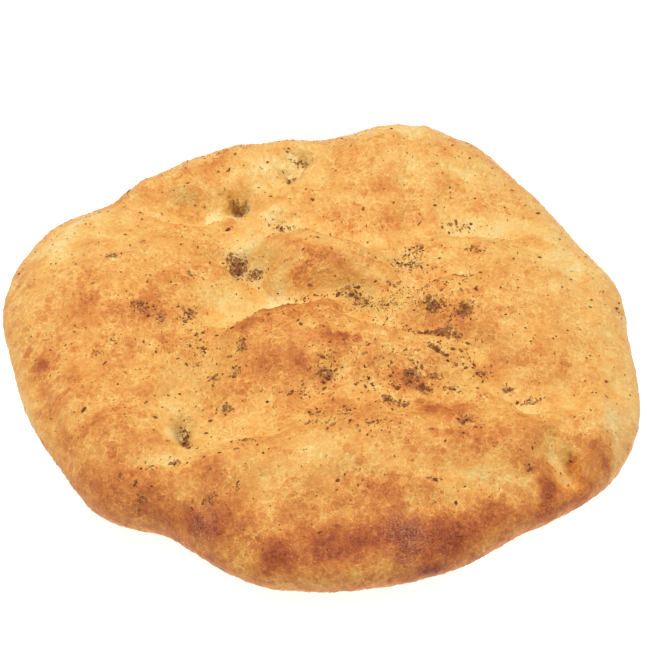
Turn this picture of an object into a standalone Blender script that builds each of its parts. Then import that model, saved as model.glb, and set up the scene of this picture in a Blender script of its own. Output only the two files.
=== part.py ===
"""Focaccia bianca: one hand-shaped round flatbread with dried oregano baked onto its crust.

Metres, +Z up. The origin is the middle of the flat underside. The front, where the side is
tallest and darkest, faces -Y, and +X is to its right.
"""
import math

import bpy
import numpy as np
from mathutils import Matrix, Vector
from mathutils.bvhtree import BVHTree

MM = 0.001

# The loaf's driving sizes
BODY_HEIGHT = 32 * MM
WIDEST_HEIGHT = 14 * MM
UNDERSIDE_INSET = 14 * MM
LEAST_THICKNESS = 7 * MM

# Exponents that round the side: the shoulder's fullness, its roundness, and the curl underneath
SHOULDER_FULLNESS = 6.0
SHOULDER_ROUNDNESS = 2.2
CURL_ROUNDNESS = 1.9
SHOULDER_START = 0.86

# How finely the form is worked out before it is thinned to the triangles that its relief needs
TOP_RINGS = 72
SIDE_BANDS = 14
CURL_BANDS = 8
CRUST_TRIANGLES = 7000

# The rim's reach from the middle in mm, at each bearing in degrees from +X towards +Y
RIM = (
    (0, 137), (12, 140), (24, 132), (36, 134), (48, 137), (60, 146), (74, 144), (86, 121),
    (98, 126), (110, 125), (124, 124), (134, 127), (141, 124), (150, 139), (162, 142),
    (174, 141), (186, 133), (200, 131), (214, 129), (228, 133), (240, 122), (250, 128),
    (260, 135), (284, 136), (296, 137), (308, 135), (318, 142), (328, 148), (340, 147),
    (350, 141),
)
RIM_BLUR = 4.0

# Pillows of dough: x, y, half length, half width in mm, turn in degrees, rise in mm
PILLOWS = (
    (-54, 92, 46, 18, 24, 11),
    (40, 104, 44, 24, -10, 14),
    (27, 74, 30, 14, -4, 5),
    (3, 29, 28, 17, -12, 10.5),
    (-9, 34, 17, 14, -15, 2.5),
    (-95, 13, 36, 40, 10, 8),
    (85, -4, 38, 36, 0, 8),
    (-4, -20, 44, 19, -5, 8),
    (14, -82, 66, 19, 6, 9),
    (-93, -68, 26, 34, 30, 8),
    (118, -69, 11, 17, -10, 10),
    (84, -74, 20, 18, 0, 4),
    (-50, -104, 26, 20, -20, 6),
    (100, 52, 20, 12, -40, 3),
    (-97, -8, 5, 5, 0, 1.2),
    (-19, 92, 4, 3.5, 0, 2),
    (-118, -30, 5, 6, 0, 1.4),
    (-72, -2, 9, 5, 0, 1.2),
    (-37, 62, 5, 2.5, 0, 1.6),
)
PILLOW_FULLNESS = 2.7

# Fingertip pits: x, y, half length, half width in mm, turn in degrees, depth in mm, steepness
PITS = (
    (-57, 69, 8, 5, 5, 5, 2.4),
    (-35, 71, 6.4, 5.6, 20, 9, 2.2),
    (-12, 97, 9, 7, -45, 3, 2.2),
    (-13, 92, 2.2, 5, -10, 4, 2.4),
    (-14, 58, 8, 5, 8, 4.5, 2.4),
    (18, 14, 9, 5, -20, 2.5, 2.4),
    (-36, 34, 9, 5.5, -38, 6, 2.4),
    (28, 44, 7, 4, -20, 3, 2.4),
    (-54, -66, 3.6, 10, 8, 7, 2.4),
    (62, -40, 12, 8, -20, 2, 2),
    (-24, -58, 20, 10, -5, 3, 2),
)

# Valleys between the pillows: half widths on the right and on the left of the way that the
# points run, and depth, in mm
VALLEYS = (
    (7, 10, 3.5, ((-50, 56), (-41, 41), (-33, 31), (-26, 24), (-20, 18), (-14, 8))),
    (12, 12, 4, ((-30, 58), (-36, 44), (-38, 30), (-36, 10), (-43, -5), (-50, -22))),
    (14, 15, 6, ((-36, 12), (-47, -10), (-52, -30), (-54, -52), (-54, -70), (-55, -90))),
    (5, 10, 3, ((56, -14), (68, -24), (76, -34), (84, -48), (88, -60))),
    (10, 12, 3, ((60, -18), (76, -36), (94, -49), (115, -55))),
    (6, 8, 4, ((-46, -84), (-60, -87), (-82, -84))),
    (2, 4, 1.6, ((33, -103), (41, -107), (50, -110))),
    (5, 9, 3, ((22, -80), (40, -87), (58, -92), (76, -96), (96, -97))),
    (3, 4, 3.6, ((-124, -30), (-119, -40), (-112, -56), (-105, -73), (-97, -91), (-88, -106))),
)

# Creases, where a flap of dough rounds down onto the floor beside it: widths of the flap, on the
# right of the way that the points run, and of the floor, and depth, in mm
CREASES = (
    (7, 10, 6, ((-99, 74), (-88, 69), (-76, 64), (-64, 60), (-52, 60), (-42, 63), (-34, 64), (-26, 66),
                (-19, 69))),
    (6, 7, 6.5, ((-21, 73), (-16, 80), (-11, 86), (-7, 92), (-3, 98), (-8, 102), (-13, 105), (-18, 109))),
    (6, 8, 5, ((-26, 50), (-19, 49), (-11, 50), (-4, 54), (3, 58))),
    (7, 9, 8, ((-6, 52), (4, 49), (13, 42), (20, 36), (28, 29))),
    (10, 8, 4.5, ((-12, 6), (-19, 14), (-24, 22), (-25, 30), (-23, 39))),
    (8, 9, 7.5, ((-46, -14), (-38, -6), (-30, 1), (-18, 6), (-6, 9), (6, 8), (12, 5), (18, -3), (27, -9),
                 (39, -11), (54, -16), (64, -21), (76, -27))),
    (8, 12, 5.5, ((24, 5), (30, 10), (36, 13), (46, 16), (58, 21), (72, 25))),
    (4, 5, 2.4, ((3, -22), (10, -22), (16, -20), (20, -18))),
    (6, 6, 2.5, ((-54, -80), (-41, -76), (-25, -74), (-2, -69))),
    (8, 11, 5, ((42, 45), (58, 50), (70, 50), (84, 49), (106, 51))),
    (5, 8, 13, ((110, -97), (107, -90), (106, -83), (103, -76), (99, -68))),
    (7, 9, 3.5, ((54, -32), (64, -41), (74, -47), (86, -53), (102, -57))),
)
PATH_EASINGS = 3
PATH_FADE = 0.8
CREASE_SOFTNESS = 0.5 * MM
FLOOR_SHARPNESS = 1.5

# Low swells all over, as many waves of chance direction and length
SWELL_SEED = 5
SWELLS = 36
SWELL_LENGTHS = (16 * MM, 44 * MM)
SWELL_RISE = 0.17 * MM

# How far pillows, pits, valleys and creases wander from their plain ovals and paths
WANDER_SEED = 2
WANDERS = 16
WANDER_LENGTHS = (8 * MM, 28 * MM)
WANDER_REACH = 0.32 * MM

# Where dried oregano gathered: x, y, half length, half width in mm, turn in degrees, flakes
HERB_DRIFTS = (
    (-36, 36, 7, 4.5, -40, 56), (-27, 28, 5, 2.5, -10, 16), (-75, -3, 5, 4, 0, 16), (-67, -6, 4, 4, 0, 10),
    (-54, -67, 2.5, 7, 10, 30), (21, 10, 9, 5, -35, 26), (15, 12, 6, 2, 0, 8), (51, 1, 6, 4, -10, 40),
    (65, -3, 4, 4, 0, 16), (51, -13, 19, 2.2, -19, 66), (62, -7, 7, 4, -10, 20), (41, -39, 4, 5, 0, 30),
    (46, -46, 4, 3, 0, 18), (50, -39, 3, 2, 0, 8), (30, -53, 3, 2.5, 0, 12), (36, -54, 3, 2, 0, 8),
    (62, -66, 4, 2.5, 15, 16), (71, -36, 4, 3, 0, 16), (82, -43, 3.5, 3, 0, 10), (90, -48, 6, 1.5, 10, 10),
    (41, 31, 8, 5, 12, 34), (45, 39, 5, 4, 0, 14), (37, 17, 6, 3, 0, 10), (-14, 58, 6, 3, 5, 12),
    (-8, 100, 6, 2.5, -40, 16), (-13, 92, 1.5, 4, -10, 6), (-35, 73, 3, 3, 0, 6),
    (28, -40, 34, 20, 0, 70), (60, 8, 24, 20, 0, 36),
    (4, -40, 4, 4, 0, 16), (-38, -55, 4, 3, 0, 14), (-43, -36, 3, 3, 0, 9), (-34, -36, 3, 3, 0, 9),
    (-32, -24, 3, 3, 0, 9), (-55, -1, 4, 4, 0, 14), (-90, 28, 3, 2, 0, 7), (-56, 22, 2.5, 2, -40, 6),
    (0, -60, 5, 3, 0, 9), (12, -61, 5, 3, 0, 9), (51, -26, 5, 2, -35, 12), (57, -45, 5, 3, -20, 8),
    (87, -88, 2.5, 1.5, 0, 4), (48, -96, 2.5, 1, 0, 4), (-42, -105, 4, 3, 0, 8), (-32, -102, 4, 3, 0, 6),
    (-71, -101, 1.5, 2, 0, 6), (-73, -95, 1.5, 1.5, 0, 4), (-7, -47, 5, 4, 0, 10), (65, 56, 7, 4, 0, 11),
    (71, 36, 4, 4, 0, 8), (134, 10, 2, 4, 0, 5), (-3, 11, 8, 1.5, 0, 7), (6, -32, 5, 3, 0, 9),
    (-86, -21, 4, 3, 0, 5), (-92, -26, 3, 3, 0, 5), (-29, -78, 4, 2, 0, 7), (-57, -86, 5, 2, 0, 8),
    (-67, -88, 4, 2, 0, 6), (2, -66, 8, 4, 0, 12), (27, -72, 8, 5, 0, 12), (50, 16, 6, 1, 8, 9),
    (65, 20, 3, 1, 8, 5), (60, -26, 12, 6, -20, 16), (-50, -20, 6, 14, 10, 16),
)
DRIFT_SPREAD = 0.48
LOOSE_FLAKES = 560
FLAKE_SEED = 11
FLAKE_LENGTH = 1.2 * MM
FLAKE_SPREAD = 0.48
FLAKE_LIMITS = (0.5 * MM, 3.4 * MM)

# The largest flakes are part of this solid
FUSED_FLAKES = 110
FLAKE_PLUMPING = 1.25
FLAKE_ABOVE = 0.65 * MM
FLAKE_BELOW = 0.7 * MM
STEEPEST_PLACE = 0.4


def rim_table():
    """The rim's reach at every half degree, with the corners between its bearings eased."""
    steps = 720
    bearings = np.arange(steps) * 360 / steps
    reach = np.interp(bearings, [r[0] for r in RIM], [r[1] for r in RIM], period=360)
    offsets = np.arange(-24, 25)
    weights = np.exp(-(offsets * 360 / steps / RIM_BLUR) ** 2)
    eased = sum(w * np.roll(reach, i) for i, w in zip(offsets, weights)) / weights.sum()
    return bearings, eased * MM


RIM_BEARINGS, RIM_REACH = rim_table()


def rim_reach(bearing):
    return np.interp(np.degrees(bearing), RIM_BEARINGS, RIM_REACH, period=360)


def oval_distance(x, y, centre_x, centre_y, half_length, half_width, turn):
    """How far a point is from the middle of a turned oval, where 1 is on its edge."""
    along, across = math.cos(math.radians(turn)), math.sin(math.radians(turn))
    dx, dy = x - centre_x * MM, y - centre_y * MM
    return np.hypot(
        (dx * along + dy * across) / (half_length * MM),
        (dy * along - dx * across) / (half_width * MM),
    )


def eased_path(points):
    """The path with its corners cut, again and again, so that it runs as a curve."""
    path = np.array(points, float) * MM
    for _ in range(PATH_EASINGS):
        near = 0.75 * path[:-1] + 0.25 * path[1:]
        far = 0.25 * path[:-1] + 0.75 * path[1:]
        path = np.concatenate([path[:1], np.stack([near, far], 1).reshape(-1, 2), path[-1:]])
    return path


def path_place(x, y, points):
    """How far each point lies left of a path, less than 0 on its right, and a fade towards its ends."""
    path = eased_path(points)
    steps = np.diff(path, axis=0)
    lengths = np.hypot(*steps.T)
    starts = np.concatenate([[0], np.cumsum(lengths)])
    nearest = np.full(np.shape(x), np.inf)
    side = np.zeros(np.shape(x))
    way = np.zeros(np.shape(x))
    for (x0, y0), (dx, dy), length, start in zip(path, steps, lengths, starts):
        share = np.clip(((x - x0) * dx + (y - y0) * dy) / length ** 2, 0, 1)
        off_x, off_y = x - x0 - share * dx, y - y0 - share * dy
        distance = np.hypot(off_x, off_y)
        closer = distance < nearest
        nearest = np.where(closer, distance, nearest)
        side = np.where(closer, dx * off_y - dy * off_x, side)
        way = np.where(closer, (start + share * length) / starts[-1], way)
    return np.where(side > 0, nearest, -nearest), np.sin(math.pi * way) ** PATH_FADE


def valley_share(x, y, right_width, left_width, points):
    """A valley's share of its depth, from 0 away from it to 1 along the middle of its path."""
    left, fade = path_place(x, y, points)
    width = np.where(left > 0, left_width, right_width) * MM
    return fade * np.exp(-(left / width) ** 2)


def crease_share(x, y, flap_width, floor_width, points):
    """A crease's share of its depth: the flap drops to it in a quarter round, the floor rises softly."""
    left, fade = path_place(x, y, points)
    away = np.hypot(left, CREASE_SOFTNESS) - CREASE_SOFTNESS
    down = np.clip(1 - away / (flap_width * MM), 0, 1)
    flap = 1 - np.sqrt(1 - down ** 2)
    floor = np.exp(-(away / (floor_width * MM)) ** FLOOR_SHARPNESS)
    return fade * np.where(left > 0, floor, flap)


def wave_sum(x, y, seed, count, lengths, rise):
    """Uneven ground: the sum of waves with chance directions, lengths and phases."""
    draw = np.random.default_rng(seed)
    total = np.zeros(np.shape(x))
    for _ in range(count):
        turn, phase = draw.uniform(0, 2 * math.pi, 2)
        pitch = 2 * math.pi / draw.uniform(*lengths)
        total = total + np.cos(pitch * (x * math.cos(turn) + y * math.sin(turn)) + phase)
    return rise * total


def crust_height(x, y):
    """The height of the top crust over the underside, before the side rounds it off."""
    height = BODY_HEIGHT + wave_sum(x, y, SWELL_SEED, SWELLS, SWELL_LENGTHS, SWELL_RISE)
    wandered = [place + wave_sum(x, y, WANDER_SEED + i, WANDERS, WANDER_LENGTHS, WANDER_REACH)
                for i, place in enumerate((x, y))]
    for *oval, rise in PILLOWS:
        height = height + rise * MM * np.exp(-oval_distance(*wandered, *oval) ** PILLOW_FULLNESS)
    for right_width, left_width, depth, points in VALLEYS:
        height = height - depth * MM * valley_share(*wandered, right_width, left_width, points)
    for flap_width, floor_width, depth, points in CREASES:
        height = height - depth * MM * crease_share(*wandered, flap_width, floor_width, points)
    for *oval, depth, steepness in PITS:
        height = height - depth * MM * np.exp(-oval_distance(*wandered, *oval) ** steepness)
    return np.maximum(height, LEAST_THICKNESS)


def ring_bearings(count):
    return np.arange(count) * 2 * math.pi / count


def top_ring(count, share):
    """Points of the top crust at a share of the rim's reach."""
    bearing = ring_bearings(count)
    x = share * rim_reach(bearing) * np.cos(bearing)
    y = share * rim_reach(bearing) * np.sin(bearing)
    rounding = (1 - share ** SHOULDER_FULLNESS) ** (1 / SHOULDER_ROUNDNESS)
    return np.stack([x, y, WIDEST_HEIGHT + (crust_height(x, y) - WIDEST_HEIGHT) * rounding], axis=1)


def under_ring(count, share):
    """Points of the underside and of the curl up to the widest line, at a share of the reach."""
    bearing = ring_bearings(count)
    reach = rim_reach(bearing)
    flat_share = 1 - UNDERSIDE_INSET / reach
    out = np.clip((share - flat_share) / (1 - flat_share), 0, 1)
    curl = 1 - (1 - out ** CURL_ROUNDNESS) ** (1 / CURL_ROUNDNESS)
    x = share * reach * np.cos(bearing)
    y = share * reach * np.sin(bearing)
    return np.stack([x, y, WIDEST_HEIGHT * curl], axis=1)


def side_shares():
    """Shares of the reach that space the shoulder's rings evenly along its curve."""
    fine = np.linspace(SHOULDER_START, 1, 400)
    height = (BODY_HEIGHT - WIDEST_HEIGHT) * (1 - fine ** SHOULDER_FULLNESS) ** (1 / SHOULDER_ROUNDNESS)
    steps = np.hypot(np.diff(fine) * RIM_REACH.mean(), np.diff(height))
    length = np.concatenate([[0], np.cumsum(steps)])
    return np.interp(np.linspace(0, length[-1], SIDE_BANDS + 1)[1:], length, fine)


def body_rings():
    """The loaf's rings of points, from the middle of the top, over the side, to the middle below."""
    rings = [top_ring(max(1, 6 * k), SHOULDER_START * k / TOP_RINGS) for k in range(TOP_RINGS + 1)]
    rings += [top_ring(6 * TOP_RINGS, share) for share in side_shares()]
    flat_share = 1 - UNDERSIDE_INSET / RIM_REACH.mean()
    for k in range(1, CURL_BANDS + 1):
        out = math.cos(math.pi / 2 * k / CURL_BANDS) ** (2 / CURL_ROUNDNESS)
        rings.append(under_ring(6 * TOP_RINGS, flat_share + (1 - flat_share) * out))
    for k in range(TOP_RINGS - 1, -1, -1):
        rings.append(under_ring(max(1, 6 * k), flat_share * k / TOP_RINGS))
    return rings


def ring_faces(first, second, first_start, second_start):
    """Triangles between two rings of any counts, taken in turn by bearing."""
    faces = []
    i = j = 0
    while i < first * (first > 1) or j < second * (second > 1):
        a, b = first_start + i % first, second_start + j % second
        if first == 1 or (second > 1 and (j + 1) * first <= (i + 1) * second):
            faces.append((a, b, second_start + (j + 1) % second))
            j += 1
        else:
            faces.append((a, b, first_start + (i + 1) % first))
            i += 1
    return faces


def body_mesh(name):
    rings = body_rings()
    starts = np.cumsum([0] + [len(ring) for ring in rings])
    faces = []
    for i in range(len(rings) - 1):
        faces += ring_faces(len(rings[i]), len(rings[i + 1]), int(starts[i]), int(starts[i + 1]))
    mesh = bpy.data.meshes.new(name)
    mesh.from_pydata(np.concatenate(rings).tolist(), [], faces)
    mesh.update()
    return mesh


def flake_places():
    """Every flake on the crust: x, y, length, width over length and turn, by one seeded draw."""
    draw = np.random.default_rng(FLAKE_SEED)
    x, y = [], []
    for centre_x, centre_y, half_length, half_width, turn, flakes in HERB_DRIFTS:
        along, across = math.cos(math.radians(turn)), math.sin(math.radians(turn))
        u = draw.normal(0, DRIFT_SPREAD * half_length, flakes)
        v = draw.normal(0, DRIFT_SPREAD * half_width, flakes)
        x += list((centre_x + u * along - v * across) * MM)
        y += list((centre_y + u * across + v * along) * MM)
    bearing = draw.uniform(0, 2 * math.pi, LOOSE_FLAKES)
    share = 0.97 * draw.uniform(0, 1, LOOSE_FLAKES) ** 0.6
    x += list(share * rim_reach(bearing) * np.cos(bearing))
    y += list(share * rim_reach(bearing) * np.sin(bearing))
    length = FLAKE_LENGTH * np.exp(draw.normal(0, FLAKE_SPREAD, len(x)))
    length = np.clip(length, *FLAKE_LIMITS)
    narrowness = draw.uniform(0.3, 0.6, len(x))
    turn = draw.uniform(0, 2 * math.pi, len(x))
    return np.stack([x, y, length, narrowness, turn], axis=1)


def flake_mesh(name, length, width):
    """A leaf fragment: six corners above and six below, with its two tips bent down."""
    outline = ((-0.5, 0), (-0.2, -0.5), (0.25, -0.42), (0.5, 0.05), (0.15, 0.5), (-0.25, 0.4))
    points = []
    for height in (FLAKE_ABOVE, -FLAKE_BELOW):
        for u, v in outline:
            dip = 0.6 * FLAKE_ABOVE * abs(2 * u) ** 2
            points.append((u * length, v * width, height - dip))
    top = [(0, i, i + 1) for i in range(1, 5)]
    below = [(6, 7 + i, 6 + i) for i in range(1, 5)]
    sides = [face for i in range(6) for j in [(i + 1) % 6] for face in ((i, i + 6, j + 6), (i, j + 6, j))]
    mesh = bpy.data.meshes.new(name)
    mesh.from_pydata(points, [], top + below + sides)
    return mesh


def lay_flakes(loaf):
    """The largest flakes as closed chips sunk into the crust, in a collection of their own."""
    flakes = bpy.data.collections.new("oregano_flakes")
    bpy.context.scene.collection.children.link(flakes)
    crust = BVHTree.FromObject(loaf, bpy.context.evaluated_depsgraph_get())
    places = flake_places()
    laid = 0
    for x, y, length, narrowness, turn in places[np.argsort(-places[:, 2], kind="stable")]:
        hit, normal, _, _ = crust.ray_cast(Vector((x, y, 1)), Vector((0, 0, -1)))
        if hit is None or normal.z < STEEPEST_PLACE:
            continue
        long = length * FLAKE_PLUMPING
        mesh = flake_mesh(f"flake_{laid:03d}", long, long * narrowness * FLAKE_PLUMPING)
        flake = bpy.data.objects.new(mesh.name, mesh)
        stand = Vector((0, 0, 1)).rotation_difference(normal).to_matrix().to_4x4()
        flake.matrix_world = Matrix.Translation(hit) @ stand @ Matrix.Rotation(turn, 4, "Z")
        flakes.objects.link(flake)
        laid += 1
        if laid == FUSED_FLAKES:
            break
    return flakes


def fuse_flakes(loaf):
    """Joins the loaf and the largest flakes into one solid."""
    flakes = lay_flakes(loaf)
    union = loaf.modifiers.new("flakes", "BOOLEAN")
    union.operation = "UNION"
    union.operand_type = "COLLECTION"
    union.collection = flakes
    union.solver = "EXACT"
    applied(loaf)
    for flake in list(flakes.objects):
        bpy.data.objects.remove(flake)
    bpy.data.collections.remove(flakes)


def crust_material():
    """Golden baked crust."""
    material = bpy.data.materials.new("golden_crust")
    material.use_nodes = True
    shader = material.node_tree.nodes["Principled BSDF"]
    shader.inputs["Base Color"].default_value = (0.74, 0.39, 0.11, 1)
    shader.inputs["Roughness"].default_value = 0.55
    shader.inputs["Metallic"].default_value = 0
    return material


def applied(obj):
    """Keeps what the object's modifiers make as its own mesh."""
    graph = bpy.context.evaluated_depsgraph_get()
    mesh = bpy.data.meshes.new_from_object(obj.evaluated_get(graph))
    obj.modifiers.clear()
    obj.data = mesh
    return obj


def make_loaf():
    mesh = body_mesh("focaccia")
    loaf = bpy.data.objects.new("focaccia", mesh)
    bpy.context.scene.collection.objects.link(loaf)
    thinned = loaf.modifiers.new("thinned", "DECIMATE")
    thinned.ratio = CRUST_TRIANGLES / len(mesh.polygons)
    applied(loaf)
    loaf.data.materials.append(crust_material())
    return loaf


def main():
    for obj in list(bpy.data.objects):
        bpy.data.objects.remove(obj)
    loaf = make_loaf()
    fuse_flakes(loaf)
    loaf.data.shade_smooth()


main()
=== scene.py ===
"""Looks of a focaccia bianca: its browned crust in fine relief, and the dried oregano on it."""
import math

import bpy
import numpy as np
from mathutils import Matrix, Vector
from mathutils.bvhtree import BVHTree


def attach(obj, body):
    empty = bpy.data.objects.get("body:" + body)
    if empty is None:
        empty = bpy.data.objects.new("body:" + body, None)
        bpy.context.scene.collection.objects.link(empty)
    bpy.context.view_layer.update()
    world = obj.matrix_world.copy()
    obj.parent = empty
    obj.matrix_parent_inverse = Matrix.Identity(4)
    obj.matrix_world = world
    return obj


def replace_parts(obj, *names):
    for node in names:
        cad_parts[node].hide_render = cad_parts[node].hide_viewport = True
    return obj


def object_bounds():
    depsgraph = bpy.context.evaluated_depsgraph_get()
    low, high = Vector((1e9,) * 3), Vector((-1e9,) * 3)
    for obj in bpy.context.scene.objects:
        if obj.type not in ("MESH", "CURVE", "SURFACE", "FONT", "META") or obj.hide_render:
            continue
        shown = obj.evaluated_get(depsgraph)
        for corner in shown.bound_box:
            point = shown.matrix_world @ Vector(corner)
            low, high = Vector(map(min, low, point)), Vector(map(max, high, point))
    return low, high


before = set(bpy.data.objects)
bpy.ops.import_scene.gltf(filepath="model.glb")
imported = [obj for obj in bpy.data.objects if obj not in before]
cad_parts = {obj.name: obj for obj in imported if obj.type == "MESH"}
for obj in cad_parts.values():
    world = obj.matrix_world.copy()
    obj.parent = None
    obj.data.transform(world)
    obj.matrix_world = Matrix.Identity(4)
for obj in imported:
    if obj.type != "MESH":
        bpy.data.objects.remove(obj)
CAD_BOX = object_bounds()

MM = 0.001

# The loaf's driving sizes
BODY_HEIGHT = 32 * MM
WIDEST_HEIGHT = 14 * MM
UNDERSIDE_INSET = 14 * MM
LEAST_THICKNESS = 7 * MM

# Exponents that round the side: the shoulder's fullness, its roundness, and the curl underneath
SHOULDER_FULLNESS = 6.0
SHOULDER_ROUNDNESS = 2.2
CURL_ROUNDNESS = 1.9

# Where the shoulder's own rings start, as a share of the rim's reach
SHOULDER_START = 0.86
SIDE_SAMPLES = 400

# How finely the crust is meshed. Each ring of the top has a few points more than the one inside it,
# and each ring of the underside has half the points of the one outside it, and less reach
TOP_RINGS = 200
SIDE_BANDS = 34
CURL_BANDS = 14
RING_GROWTH = 6
UNDER_RING_LEAST = 12
UNDER_RING_SHARE = 0.72

# The rim's reach from the middle in mm, at each bearing in degrees from +X towards +Y
RIM = (
    (0, 137), (12, 140), (24, 132), (36, 134), (48, 137), (60, 146), (74, 144), (86, 121),
    (98, 126), (110, 125), (124, 124), (134, 127), (141, 124), (150, 139), (162, 142),
    (174, 141), (186, 133), (200, 131), (214, 129), (228, 133), (240, 122), (250, 128),
    (260, 135), (284, 136), (296, 137), (308, 135), (318, 142), (328, 148), (340, 147),
    (350, 141),
)
# Its corners are eased over some degrees, in steps of half a degree
RIM_BLUR = 4.0
RIM_STEP = 0.5
RIM_BLUR_STEPS = 24

# Pillows of dough: x, y, half length, half width in mm, turn in degrees, rise in mm
PILLOWS = (
    (-54, 92, 46, 18, 24, 11),
    (40, 104, 44, 24, -10, 14),
    (27, 74, 30, 14, -4, 5),
    (3, 29, 28, 17, -12, 10.5),
    (-9, 34, 17, 14, -15, 2.5),
    (-95, 13, 36, 40, 10, 8),
    (85, -4, 38, 36, 0, 8),
    (-4, -20, 44, 19, -5, 8),
    (14, -82, 66, 19, 6, 9),
    (-93, -68, 26, 34, 30, 8),
    (118, -69, 11, 17, -10, 10),
    (84, -74, 20, 18, 0, 4),
    (-50, -104, 26, 20, -20, 6),
    (100, 52, 20, 12, -40, 3),
    (-97, -8, 5, 5, 0, 1.2),
    (-19, 92, 4, 3.5, 0, 2),
    (-118, -30, 5, 6, 0, 1.4),
    (-72, -2, 9, 5, 0, 1.2),
    (-37, 62, 5, 2.5, 0, 1.6),
)
PILLOW_FULLNESS = 2.7

# Fingertip pits: x, y, half length, half width in mm, turn in degrees, depth in mm, steepness
PITS = (
    (-57, 69, 8, 5, 5, 5, 2.4),
    (-35, 71, 6.4, 5.6, 20, 9, 2.2),
    (-12, 97, 9, 7, -45, 3, 2.2),
    (-13, 92, 2.2, 5, -10, 4, 2.4),
    (-14, 58, 8, 5, 8, 4.5, 2.4),
    (18, 14, 9, 5, -20, 2.5, 2.4),
    (-36, 34, 9, 5.5, -38, 6, 2.4),
    (28, 44, 7, 4, -20, 3, 2.4),
    (-54, -66, 3.6, 10, 8, 7, 2.4),
    (62, -40, 12, 8, -20, 2, 2),
    (-24, -58, 20, 10, -5, 3, 2),
)

# Valleys between the pillows: half widths on the right and on the left of the way that the
# points run, and depth, in mm
VALLEYS = (
    (7, 10, 3.5, ((-50, 56), (-41, 41), (-33, 31), (-26, 24), (-20, 18), (-14, 8))),
    (12, 12, 4, ((-30, 58), (-36, 44), (-38, 30), (-36, 10), (-43, -5), (-50, -22))),
    (14, 15, 6, ((-36, 12), (-47, -10), (-52, -30), (-54, -52), (-54, -70), (-55, -90))),
    (5, 10, 3, ((56, -14), (68, -24), (76, -34), (84, -48), (88, -60))),
    (10, 12, 3, ((60, -18), (76, -36), (94, -49), (115, -55))),
    (6, 8, 4, ((-46, -84), (-60, -87), (-82, -84))),
    (2, 4, 1.6, ((33, -103), (41, -107), (50, -110))),
    (5, 9, 3, ((22, -80), (40, -87), (58, -92), (76, -96), (96, -97))),
    (3, 4, 3.6, ((-124, -30), (-119, -40), (-112, -56), (-105, -73), (-97, -91), (-88, -106))),
)

# Creases, where a flap of dough rounds down onto the floor beside it: widths of the flap, on the
# right of the way that the points run, and of the floor, and depth, in mm
CREASES = (
    (7, 10, 6, ((-99, 74), (-88, 69), (-76, 64), (-64, 60), (-52, 60), (-42, 63), (-34, 64), (-26, 66),
                (-19, 69))),
    (6, 7, 6.5, ((-21, 73), (-16, 80), (-11, 86), (-7, 92), (-3, 98), (-8, 102), (-13, 105), (-18, 109))),
    (6, 8, 5, ((-26, 50), (-19, 49), (-11, 50), (-4, 54), (3, 58))),
    (7, 9, 8, ((-6, 52), (4, 49), (13, 42), (20, 36), (28, 29))),
    (10, 8, 4.5, ((-12, 6), (-19, 14), (-24, 22), (-25, 30), (-23, 39))),
    (8, 9, 7.5, ((-46, -14), (-38, -6), (-30, 1), (-18, 6), (-6, 9), (6, 8), (12, 5), (18, -3), (27, -9),
                 (39, -11), (54, -16), (64, -21), (76, -27))),
    (8, 12, 5.5, ((24, 5), (30, 10), (36, 13), (46, 16), (58, 21), (72, 25))),
    (4, 5, 2.4, ((3, -22), (10, -22), (16, -20), (20, -18))),
    (6, 6, 2.5, ((-54, -80), (-41, -76), (-25, -74), (-2, -69))),
    (8, 11, 5, ((42, 45), (58, 50), (70, 50), (84, 49), (106, 51))),
    (5, 8, 13, ((110, -97), (107, -90), (106, -83), (103, -76), (99, -68))),
    (7, 9, 3.5, ((54, -32), (64, -41), (74, -47), (86, -53), (102, -57))),
)
PATH_EASINGS = 3
PATH_FADE = 0.8
CREASE_SOFTNESS = 0.5 * MM
FLOOR_SHARPNESS = 1.5

# Low swells all over, as many waves of chance direction and length
SWELL_SEED = 5
SWELLS = 36
SWELL_LENGTHS = (16 * MM, 44 * MM)
SWELL_RISE = 0.17 * MM

# How far pillows, pits, valleys and creases wander from their plain ovals and paths
WANDER_SEED = 2
WANDERS = 16
WANDER_LENGTHS = (8 * MM, 28 * MM)
WANDER_REACH = 0.32 * MM

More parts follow.
